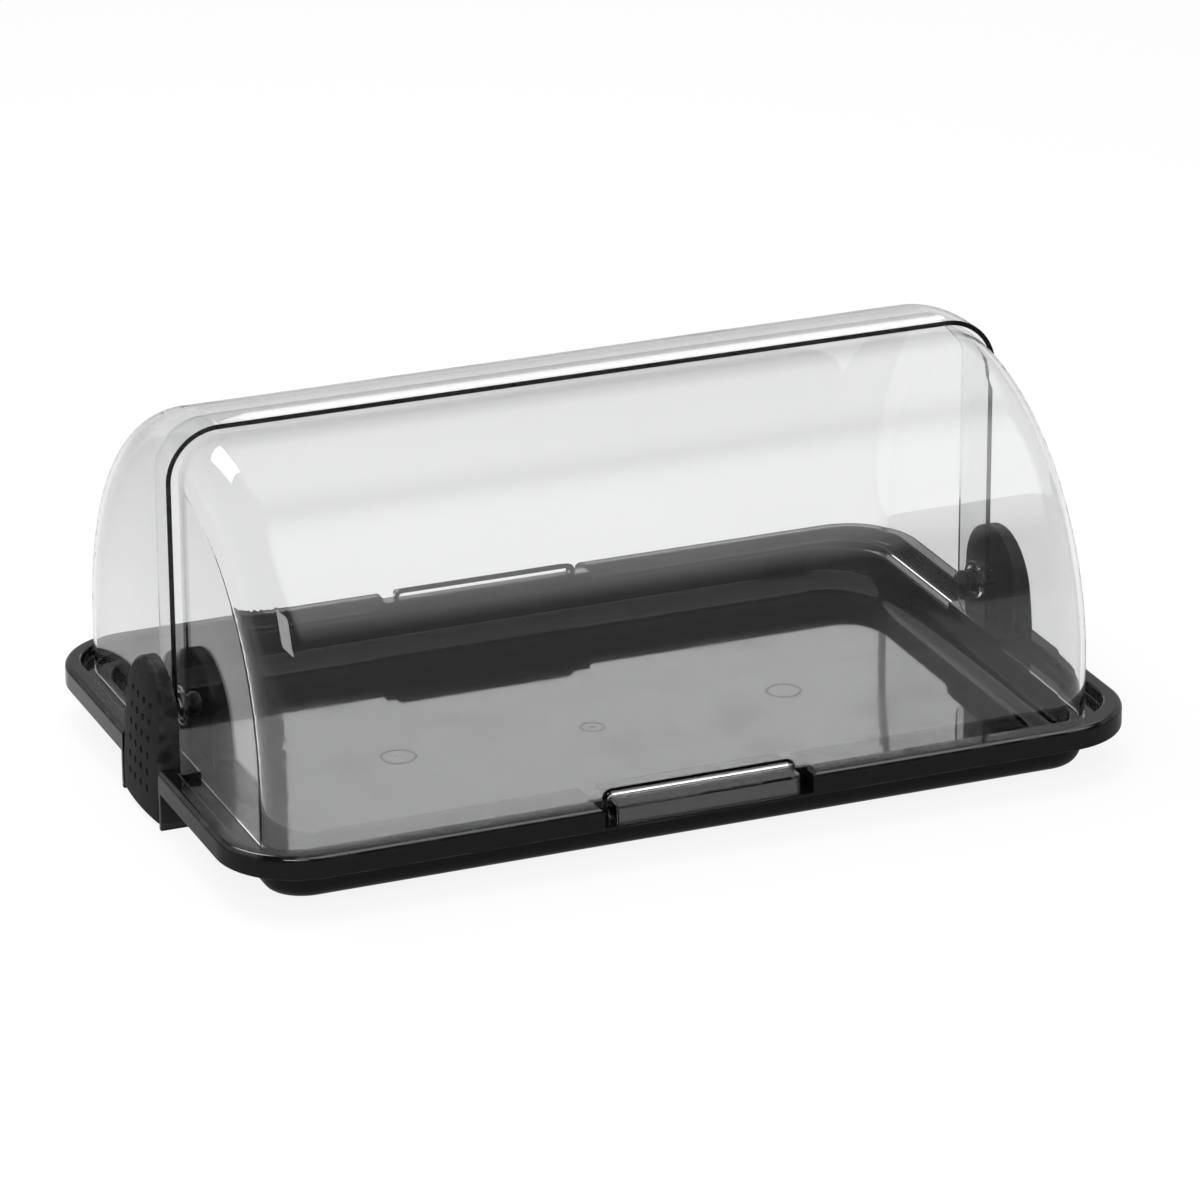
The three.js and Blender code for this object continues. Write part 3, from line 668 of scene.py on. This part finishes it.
def dimple_tree():
    """Node tree that cuts rows of round dimples into the face of a block."""
    tree = bpy.data.node_groups.new("dimpled_face", "GeometryNodeTree")
    tree.interface.new_socket("Geometry", in_out="OUTPUT", socket_type="NodeSocketGeometry")
    inputs = {"Block": entry_socket(tree, "Block", "Geometry")}
    names = ("Column pitch", "Row pitch", "Dimple radius", "Dimple depth", "Lowest row", "Face", "Bulge",
             "Lean radius", "Half width")
    inputs.update({name: entry_socket(tree, name, "Float") for name in names})
    inputs["Finish"] = entry_socket(tree, "Finish", "Material")
    entry = add(tree, "NodeGroupInput")
    pitch, row_pitch, radius, depth, low, face, bulge, lean, half = (entry.part(name) for name in names)
    columns, rows = 4, 6
    grid, column, row = point_grid(tree, columns, rows)
    y = column * pitch
    across = y / half
    z = low + row * row_pitch
    x = face + bulge * (1 - across * across) - lean + (lean * lean - z * z).maths("SQRT")
    spots = add(tree, "GeometryNodeSetPosition", None, {
        "Geometry": grid,
        "Position": add(tree, "ShaderNodeCombineXYZ", None, {"X": x, "Y": y, "Z": z}),
    })
    corner_spot = (column.maths("ABSOLUTE") > 1) * (row > rows - 1.5)
    tool = add(tree, "GeometryNodeMeshCone", {"fill_type": "NGON"}, {
        "Vertices": 24, "Radius Top": radius * 1.5, "Radius Bottom": radius * 0.82, "Depth": depth * 4,
    })
    # The cone starts at its lower end and widens outwards, so that each dimple has a soft wall.
    sunk = add(tree, "GeometryNodeTransform", None, {
        "Geometry": tool, "Translation": add(tree, "ShaderNodeCombineXYZ", None, {"X": 0 - depth}),
        "Rotation": (0, math.pi / 2, 0),
    })
    placed = add(tree, "GeometryNodeInstanceOnPoints", None, {
        "Points": spots, "Selection": 1 - corner_spot, "Instance": sunk,
    })
    tools = add(tree, "GeometryNodeRealizeInstances", None, {"Geometry": placed})
    cut = add(tree, "GeometryNodeMeshBoolean", {"operation": "DIFFERENCE", "solver": "MANIFOLD"},
              {"Mesh 1": entry.part("Block"), "Mesh 2": tools})
    finished = add(tree, "GeometryNodeSetMaterial", None, {"Geometry": cut, "Material": entry.part("Finish")})
    add(tree, "NodeGroupOutput", None, {"Geometry": finished})
    return tree, inputs


matt_black = bpy.data.materials.new("matt_black")
dimples, dimple_inputs = dimple_tree()
brackets = {}
for name, turn in (("right", 0), ("left", math.pi)):
    block = grow(bracket_block(name + "_end_bracket"), dimples, dimple_inputs, {
        "Column pitch": DIMPLE_PITCH * MM, "Row pitch": ROW_PITCH * MM, "Dimple radius": DIMPLE_RADIUS * MM,
        "Dimple depth": DIMPLE_DEPTH * MM, "Lowest row": DIMPLE_LOW * MM, "Face": BRACKET_FACE * MM,
        "Bulge": BULGE * MM, "Lean radius": LEAN_RADIUS * MM, "Half width": BRACKET_HALF * MM,
        "Finish": matt_black,
    })
    bore_outline = [m(*point) for point in arc(0, PIVOT, BORE, 0, 4, 48)[:-1]]
    bore_ends = m(BRACKET_BACK - BORE_DEPTH, BRACKET_BACK + BORE_DEPTH)
    bore = prism("bore", bore_outline, "X", *bore_ends)
    combine(block, "DIFFERENCE", bore)
    block.data.transform(Matrix.Rotation(turn, 4, "Z"))
    brackets[name] = block
    tell(block)

# %% [markdown]
# ## The hinge pins
# A pin is turned about its own axis: knob, neck and flange inside the case, and a shank through both
# covers into the bracket. A spin of one outline makes it, with every step small enough to look round.

# %% Hinge pins
PIN_END, PIN_END_ROUND, NECK = 276.7, 0.5, 5.6
FLANGE, FLANGE_BACK, FLANGE_ROUND = 6.7, 254.6, 0.6
KNOB, KNOB_MIDDLE, KNOB_HALF, KNOB_STEPS = 7.0, 246.25, 4.75, 14


def pin(name, turn):
    """Turned plug along X, drawn for the right end."""
    tip = SHANK - PIN_END_ROUND
    outline = [(PIN_END, 0.0), (PIN_END, tip)]
    outline += arc(PIN_END - PIN_END_ROUND, tip, PIN_END_ROUND, 0, 1, 3)[1:]
    outline += [(FLANGE_BACK, SHANK), (FLANGE_BACK, FLANGE)]
    outline += arc(FLANGE_BACK - FLANGE_ROUND, FLANGE, FLANGE_ROUND, 0, 1, 4)[1:]
    outline += arc(252.9, 6.5, 0.8, 1, 2, 4) + [(252.2, 5.9), (251.6, NECK), (250.9, NECK)]
    start = math.asin(NECK / KNOB)
    for step in range(KNOB_STEPS + 1):
        angle = start + (math.pi - start) * step / KNOB_STEPS
        outline.append((KNOB_MIDDLE + KNOB_HALF * math.cos(angle), KNOB * math.sin(angle)))
    body = bmesh.new()
    steps = 40
    rows = []
    for x, radius in outline:
        if radius < 1e-6:
            rows.append([body.verts.new(m(x, 0, PIVOT))] * steps)
            continue
        spots = arc(0, PIVOT, radius, 0, 4, steps)[:-1]
        rows.append([body.verts.new(m(x, y, z)) for y, z in spots])
    for row, following in zip(rows, rows[1:]):
        for here in range(steps):
            there = (here + 1) % steps
            corners = [row[here], following[here], following[there], row[there]]
            body.faces.new(list(dict.fromkeys(corners)))
    bmesh.ops.recalc_face_normals(body, faces=body.faces)
    body.transform(Matrix.Rotation(turn, 4, "Z"))
    return close(name, body)


pins = {name: pin(name + "_snap_pin", turn) for name, turn in (("right", 0), ("left", math.pi))}
for piece in pins.values():
    tell(piece)

# %% [markdown]
# ## Finishes
# A moulded surface is never quite even. Every finish below is a pattern on the piece's own coordinates, in
# metres, so that a scratch or a mark has its real size. A few small helpers name what such patterns need:
# a cloudy noise, a soft step, hairlines, dust, a mix of two colours and a bump.

# %% Pattern helpers
def finish(material, **plain):
    """Sets a finish's plain sockets. Gives its tree, its shader and the place on the piece."""
    material.use_nodes = True
    tree = material.node_tree
    shader = tree.nodes["Principled BSDF"]
    feed(shader, {name.replace("_", " "): value for name, value in plain.items()})
    return tree, shader, add(tree, "ShaderNodeTexCoord").part("Object")


def split(place):
    whole = add(place.tree, "ShaderNodeSeparateXYZ", None, {0: place})
    return whole.part("X"), whole.part("Y"), whole.part("Z")


def clouds(place, scale, detail=2.0, roughness=0.5):
    """Cloudy noise from 0 to 1, with that many clouds in a metre."""
    return add(place.tree, "ShaderNodeTexNoise", None,
               {"Vector": place, "Scale": scale, "Detail": detail, "Roughness": roughness})


def fade(value, low, high, start=0.0, end=1.0):
    """Soft step from one value to another."""
    return add(value.tree, "ShaderNodeMapRange", {"interpolation_type": "SMOOTHSTEP"},
               {"Value": value, "From Min": low, "From Max": high, "To Min": start, "To Max": end})


def hairlines(place, scale, width):
    """Thin curved lines where a cloudy noise passes its middle value, broken up by another noise."""
    line = 1 - fade((clouds(place, scale, 1.0) - 0.5).maths("ABSOLUTE"), 0.0, width)
    return line * fade(clouds(place, scale * 0.7, 1.0), 0.52, 0.62)


def specks(place, scale, size, share):
    """Dust: a small dot in a share of the cells of a random pattern."""
    cells = add(place.tree, "ShaderNodeTexVoronoi", None, {"Vector": place, "Scale": scale})
    lot, _, _ = split(cells.part("Color"))
    return fade(cells.part("Distance"), size, size * 0.6) * (lot < share)


def tint(share, first, second):
    """Mix of two colours, of which the first may come from a node."""
    below = first if isinstance(first, Wire) else (*first, 1)
    return add(share.tree, "ShaderNodeMix", {"data_type": "RGBA"}, {0: share, 6: below, 7: (*second, 1)})


def relief(height):
    """A bump from a height in metres."""
    return add(height.tree, "ShaderNodeBump", None, {"Strength": 1.0, "Distance": 1.0, "Height": height})


# %% [markdown]
# ## Gloss black for the tray
# Polished tool steel leaves the tray almost like a mirror. Large soft waves in the wall bend reflections, and
# a fine orange peel lies over them. Round ejector marks and the gate mark stand on the well's floor. Use adds
# wiped hairlines, faint smears, dust on top and a dull line along the rim's edge, where the tray is gripped.

# %% Gloss black
gloss_black = bpy.data.materials.new("gloss_black")
EJECTOR_MARKS = [(132.7, 11.8), (-119.6, 7.5)]
MARK_RADIUS, MARK_LINE = 10.3, 1.1
GATE_MARK, GATE_RADIUS = (4.1, 4.9), 7.0
BLACK, GREYER_BLACK, WORN_BLACK = (0.0032, 0.0032, 0.0034), (0.0062, 0.0062, 0.0065), (0.045, 0.045, 0.047)

tree, shader, place = finish(gloss_black, IOR=1.55, Coat_IOR=1.5, Coat_Roughness=0.03)
x, y, z = split(place)
facing = split(add(tree, "ShaderNodeTexCoord").part("Normal"))[2]
upward = fade(facing, 0.7, 0.95)


def round_from(spot):
    """Distance from an upright axis in the tray."""
    off_x, off_y = x - spot[0] * MM, y - spot[1] * MM
    return (off_x * off_x + off_y * off_y).maths("SQRT")


def thin_ring(spot, radius):
    return 1 - fade((round_from(spot) - radius * MM).maths("ABSOLUTE"), 0.0, MARK_LINE * MM)


in_well = fade(z, 5 * MM, 4 * MM) * fade(z, 1.5 * MM, 2 * MM)
marks = thin_ring(EJECTOR_MARKS[0], MARK_RADIUS) + thin_ring(EJECTOR_MARKS[1], MARK_RADIUS)
gate = thin_ring(GATE_MARK, GATE_RADIUS) + fade(round_from(GATE_MARK), 2.2 * MM, 1.2 * MM)
over_x = x.maths("ABSOLUTE") - (RIM_OUTLINE[0] - RIM_OUTLINE[3]) * MM
over_y = y.maths("ABSOLUTE") - (RIM_OUTLINE[1] - RIM_OUTLINE[3]) * MM
beyond_x, beyond_y = over_x.maths("MAXIMUM", 0.0), over_y.maths("MAXIMUM", 0.0)
beyond = (beyond_x * beyond_x + beyond_y * beyond_y).maths("SQRT")
from_rim = beyond + over_x.maths("MAXIMUM", over_y).maths("MINIMUM", 0.0) - RIM_OUTLINE[3] * MM
rim_edge = 1 - fade((from_rim + 1.1 * MM).maths("ABSOLUTE"), 0.2 * MM, 1.5 * MM)
gripped = rim_edge * fade(z, 33 * MM, 35.5 * MM) * fade(clouds(place, 60.0, 4.0), 0.42, 0.68)
skirt_edge = fade(z, 24.2 * MM, 23.2 * MM) * fade(from_rim, -2 * MM, -0.5 * MM)
skirt_edge = skirt_edge * fade(clouds(place, 45.0, 4.0), 0.4, 0.7)
scuffed = fade(z, 1.2 * MM, 0.2 * MM) * fade(clouds(place, 90.0, 5.0), 0.4, 0.65)
worn = gripped.maths("MAXIMUM", skirt_edge).maths("MAXIMUM", scuffed)
smears = fade(clouds(place, 16.0, 4.0, 0.6), 0.5, 0.72)
wiped = hairlines(place, 34.0, 0.004) * upward
dust = specks(place, 330.0, 0.1, 0.06) * upward
base = tint(worn * 0.7 + dust * 0.5, tint(clouds(place, 9.0, 3.0), BLACK, GREYER_BLACK), WORN_BLACK)
waves = clouds(place, 22.0, 1.0) * 0.00005 + clouds(place, 95.0, 1.0) * 0.000007
fine = clouds(place, 700.0, 2.0) * 0.0000008 + worn * clouds(place, 900.0, 3.0) * 0.00001
height = waves + fine + in_well * (gate * 0.00008 - marks * 0.00004) - wiped * 0.0000015
feed(shader, {
    "Base Color": base,
    "Roughness": 0.055 + clouds(place, 7.0, 3.0) * 0.03 + smears * 0.05 + worn * 0.32 + wiped * 0.12
                 + dust * 0.15 + (marks + gate * 0.6) * in_well * 0.18,
    "Coat Weight": (in_well * (0.73 - marks * 0.6 - gate * 0.3)
                    - smears * 0.12 - worn * 0.2).maths("MAXIMUM", 0.0),
    "Normal": relief(height),
})
print(gloss_black.name, len(tree.nodes), "nodes")

# %% [markdown]
# ## Matt black for the brackets
# The brackets' mould is etched, which gives a fine even grain that scatters light. Hands and the covers rub
# the raised edges smooth, so these are a little lighter and glossier, and pale dust stays in the dimples.

# %% Matt black
tree, shader, place = finish(matt_black, IOR=1.36)
x, y, z = split(place)
above = (z - PIVOT * MM).maths("MAXIMUM", 0.0)
from_outline = (y * y + above * above).maths("SQRT") - BRACKET_HALF * MM
rubbed = fade(from_outline, -3.6 * MM, -1.2 * MM) * fade(clouds(place, 110.0, 4.0), 0.38, 0.66)
outward = x.maths("ABSOLUTE")
aside = y / (BRACKET_HALF * MM)
face_place = BULGE * MM * (1 - aside * aside) + (BRACKET_FACE - LEAN_RADIUS) * MM
face_place = face_place + (LEAN_RADIUS * LEAN_RADIUS * MM * MM - z * z).maths("SQRT")
sunk = fade(face_place - outward, 0.4 * MM, 1.3 * MM) * fade(from_outline, -3 * MM, -6 * MM)
sunk = sunk * (outward > 270 * MM)
grain = clouds(place, 1500.0, 3.0, 0.6)
coarse = clouds(place, 420.0, 2.0)
lint = specks(place, 520.0, 0.12, 0.12)
base = tint(clouds(place, 40.0, 3.0), (0.005, 0.005, 0.0052), (0.009, 0.009, 0.0093))
base = tint(rubbed * 0.45 + sunk * grain * 0.35 + lint * 0.4, base, (0.06, 0.06, 0.061))
feed(shader, {
    "Base Color": base,
    "Roughness": 0.5 + clouds(place, 55.0, 3.0) * 0.12 - rubbed * 0.16 + sunk * 0.12,
    "Normal": relief(grain * 0.00003 * (1 - rubbed * 0.6) + coarse * 0.00002),
})
print(matt_black.name, len(tree.nodes), "nodes")

# %% [markdown]
# ## The pins' black
# The pins come from a small two-part mould. They are half glossy, with a faint seam line along both sides,
# fine turned rings on the flange, and a dull track where they rub in the covers' holes.

# %% Pin black
pin_black = bpy.data.materials.new("pin_black")
tree, shader, place = finish(pin_black, IOR=1.5)
x, y, z = split(place)
reach = (y * y + (z - PIVOT * MM) * (z - PIVOT * MM)).maths("SQRT")
seam = 1 - fade(y.maths("ABSOLUTE"), 0.05 * MM, 0.22 * MM)
turned = (reach * (2 * math.pi / (0.42 * MM))).maths("SINE")
track = fade(reach, 4.4 * MM, 3.9 * MM)
base = tint(clouds(place, 160.0, 3.0), (0.009, 0.009, 0.0095), (0.018, 0.018, 0.0185))
base = tint(track * 0.3 + seam * 0.25, base, (0.05, 0.05, 0.052))
feed(shader, {
    "Base Color": base,
    "Roughness": 0.24 + clouds(place, 240.0, 3.0) * 0.12 + track * 0.2,
    "Normal": relief(clouds(place, 700.0, 3.0) * 0.000012 + seam * 0.00004 + turned * 0.000002),
})
print(pin_black.name, len(tree.nodes), "nodes")

# %% [markdown]
# ## Clear plastic for the covers
# Real wall thickness does most of the work: light bends at both faces, and the free edges collect it. The
# plastic has a slight grey tint. Where a face is seen edge on, the tint is painted much darker: painted shade
# that draws dark outlines round the covers.
# Its faces carry the soft waves of the mould, fine lines round the arch from one cover sliding over the
# other, and finger smears round the handle. The cut edge is rougher, and it is tinted darker as painted shade
# for the dark line that light trapped in the plastic shows along it.

# %% Clear plastic
def clear_finish(material, cover):
    """Polished clear plastic for one cover, which knows where that cover's free edge and handle are."""
    tree, shader, place = finish(material, IOR=1.49, Transmission_Weight=1.0)
    x, y, z = split(place)
    turn = (z - PIVOT * MM).maths("ARCTAN2", y)
    along = add(tree, "ShaderNodeCombineXYZ", None, {"X": x, "Y": turn * 0.008, "Z": 0.0})
    rubs = fade(clouds(along, 620.0, 2.0), 0.66, 0.71) * fade(clouds(place, 9.0, 2.0), 0.48, 0.66)
    # The free cut edge: rougher, and tinted darker as painted shade for the dark line along it.
    edge = 1 - fade((y + cover["side"] * cover["edge"] * MM).maths("ABSOLUTE"), 0.05 * MM, 0.25 * MM)
    handle = fade(z, 95 * MM, 45 * MM) * fade(x.maths("ABSOLUTE"), 130 * MM, 60 * MM)
    fingers = handle * fade(clouds(place, 48.0, 4.0, 0.6), 0.52, 0.7)
    smears = fade(clouds(place, 11.0, 4.0, 0.6), 0.56, 0.76)
    lint = specks(place, 210.0, 0.06, 0.03)
    # Painted shade: the tint darkens where a face is seen edge on, which draws dark outlines round the cover.
    painted_outline_shade = fade(add(tree, "ShaderNodeLayerWeight", None, {"Blend": 0.5}).part("Facing"), 0.82, 0.99)
    body = tint(clouds(place, 6.0, 2.0), (0.885, 0.889, 0.889), (0.915, 0.918, 0.917))
    # Dust is the plastic's own; the darker free edge and the edge-on outlines are painted shade.
    body = tint(lint * 0.3 + edge * 0.4 + painted_outline_shade * 0.9, body, (0.55, 0.56, 0.56))
    feed(shader, {
        "Base Color": body,
        "Roughness": 0.004 + smears * 0.012 + fingers * 0.02 + rubs * 0.05 + lint * 0.08 + edge * 0.1,
        "Normal": relief(clouds(place, 13.0, 1.0) * 0.00005 + clouds(place, 60.0, 1.0) * 0.000003
                         - rubs * 0.000001),
    })
    print(material.name, len(tree.nodes), "nodes")


for name, cover in (("front_shell", FRONT), ("rear_shell", REAR)):
    clear_finish(clear_finishes[name], cover)

# %% [markdown]
# ## Light, floor and background
# Clear plastic on white needs something dark to show its edges. A photographer hangs soft light behind and
# above, and keeps the camera's side dark. Here the world does that for reflections, with two soft patches,
# and stays plain white behind the case, with a dimmer ceiling for rays that a cover bends. A large lamp above
# and a weak one in front light the plastic itself. Three more lamps also show as bright shapes: one behind
# the case in the gloss of the tray, and a strip and a window as highlights on the covers.

# %% View and light paths
scene = bpy.context.scene
scene.view_settings.view_transform = "Standard"
scene.cycles.max_bounces = 24
scene.cycles.transmission_bounces = 20
scene.cycles.glossy_bounces = 10
scene.cycles.transparent_max_bounces = 16

# %% Studio world
DARK_SIDE, BACK_LIGHT, CEILING = 0.06, 0.45, 0.55
# Soft patches of light: where they hang as turn and height in degrees, their half width, and their strength
PATCHES = [(46, 60, 21, 2.9), (143, 53, 17, 1.5)]
PATCH_OUTER, PATCH_INNER = 1.35, 0.5
AMBIENT = 0.6


def towards(turn, height):
    """Direction seen from the case: turn 0 is the front, 90 the right end."""
    turn, height = math.radians(turn), math.radians(height)
    return (math.sin(turn) * math.cos(height), -math.cos(turn) * math.cos(height), math.sin(height))


def ray_kinds(tree):
    """Rays from the camera, rays that see the background also through plastic, and mirrored rays."""
    path = add(tree, "ShaderNodeLightPath")
    direct, through = path.part("Is Camera Ray"), path.part("Is Transmission Ray")
    return direct, direct.maths("MAXIMUM", through), path.part("Is Glossy Ray") * (1 - through)


world = bpy.data.worlds.new("studio")
world.use_nodes = True
scene.world = world
tree = world.node_tree
tree.nodes.clear()
direction = add(tree, "ShaderNodeTexCoord")
x, y, z = split(direction)
mirrored = fade(y, -0.1, 0.5, DARK_SIDE, BACK_LIGHT) * fade(z, 0.42, 0.62, 1.0, 0.3)
mirrored = mirrored * fade(z, 0.0, 0.2, 0.4, 1.0)
for turn, height, half_width, strength in PATCHES:
    near = add(tree, "ShaderNodeVectorMath", {"operation": "DOT_PRODUCT"},
               {0: direction, 1: towards(turn, height)}).part("Value")
    outer, inner = (math.cos(math.radians(half_width * share)) for share in (PATCH_OUTER, PATCH_INNER))
    mirrored = mirrored + fade(near, outer, inner, 0.0, strength)
direct, seen, mirror_ray = ray_kinds(tree)
white = direct.maths("MAXIMUM", fade(z, 0.02, 0.3, 1.0, CEILING))
background = add(tree, "ShaderNodeBackground", None, {"Color": (1, 1, 1, 1), "Strength": white})
reflected = add(tree, "ShaderNodeBackground", None, {"Color": (1, 1, 1, 1), "Strength": mirrored})
ambient = add(tree, "ShaderNodeBackground", None, {"Color": (1, 1, 1, 1), "Strength": AMBIENT})
unseen = add(tree, "ShaderNodeMixShader", None, {0: mirror_ray, 1: ambient, 2: reflected})
add(tree, "ShaderNodeOutputWorld", None, {
    "Surface": add(tree, "ShaderNodeMixShader", None, {0: seen, 1: unseen, 2: background}),
})

# %% White floor
KEPT_SHADOW = 0.12
FLOOR_RADIUS, FLOOR_DROP = 12, 0.2
floor_body = bmesh.new()
bmesh.ops.create_circle(floor_body, cap_ends=True, radius=FLOOR_RADIUS, segments=96)
floor = close("floor", floor_body)
floor.data.transform(Matrix.Translation((0, 0, -FLOOR_DROP * MM)))
white_floor = bpy.data.materials.new("white_floor")
white_floor.use_nodes = True
tree = white_floor.node_tree
tree.nodes.clear()
_, seen, mirror_ray = ray_kinds(tree)
x, y, _ = split(add(tree, "ShaderNodeTexCoord").part("Object"))
matt = add(tree, "ShaderNodeBsdfDiffuse", None, {"Color": (0.95, 0.95, 0.95, 1)})
glow = add(tree, "ShaderNodeEmission", None, {"Color": (1, 1, 1, 1), "Strength": 1.0})
# In mirrored rays the floor is dark in front of the case and beside its left end, and bright behind it.
bright = fade(y, -0.25, 0.3, 0.08, 0.65) * fade(y, 0.6, 1.6, 1.0, 0.35) * fade(x, -0.45, -0.28, 0.12, 1.0)
mirror_glow = add(tree, "ShaderNodeEmission", None, {"Color": (1, 1, 1, 1), "Strength": bright})
shown = add(tree, "ShaderNodeMixShader", None, {0: mirror_ray, 1: glow, 2: mirror_glow})
lit = seen.maths("MAXIMUM", mirror_ray) * (1 - KEPT_SHADOW)
add(tree, "ShaderNodeOutputMaterial", None, {
    "Surface": add(tree, "ShaderNodeMixShader", None, {0: lit, 1: matt, 2: shown}),
})
floor.data.materials.append(white_floor)


# %% Soft lamps
def lamp(name, place, aim, width, height, watts, mirrored=False, through=False):
    """A soft rectangular lamp that points at a spot. Mirrored rays, or rays bent by a cover, may show it."""
    data = bpy.data.lights.new(name, "AREA")
    data.shape = "RECTANGLE"
    data.size, data.size_y, data.energy = width, height, watts
    made = bpy.data.objects.new(name, data)
    bpy.context.scene.collection.objects.link(made)
    away = Vector(place) - Vector(aim)
    made.matrix_world = Matrix.Translation(place) @ away.to_track_quat("Z", "Y").to_matrix().to_4x4()
    made.visible_camera = False
    made.visible_glossy = mirrored
    made.visible_transmission = through
    return made


lamp("top_lamp", (0.1, 0.3, 2.2), (0, 0, 0.1), 1.6, 1.0, 19)
lamp("front_lamp", (-1.6, -1.4, 1.8), (0, 0, 0.1), 0.9, 0.9, 1)
lamp("back_lamp", (1.105, 2.6, 1.18), (1.105, 0, 1.18), 0.91, 0.29, 1.13, mirrored=True, through=True)
lamp("strip_lamp", (-0.95, -1.62, 1.66), (-0.24, -0.14, 0.15), 0.85, 0.62, 12, mirrored=True)
lamp("window_lamp", (-0.36, 0.82, 1.34), (-0.23, -0.05, 0.2), 0.6, 0.5, 7, mirrored=True)

for name, node in (("front_shell", "front_cover"), ("rear_shell", "rear_cover")):
    piece = smooth(covers[name])
    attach(piece, node)
    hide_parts(node)
tray.data.materials.clear()
tray.data.materials.append(gloss_black)
smooth(tray)
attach(tray, "base")
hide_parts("tray")
for name in ("right", "left"):
    smooth(brackets[name])
    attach(brackets[name], "base")
    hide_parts(name + "_bracket")
    pins[name].data.materials.append(pin_black)
    smooth(pins[name])
    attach(pins[name], "base")
    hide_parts(name + "_hinge_pin")
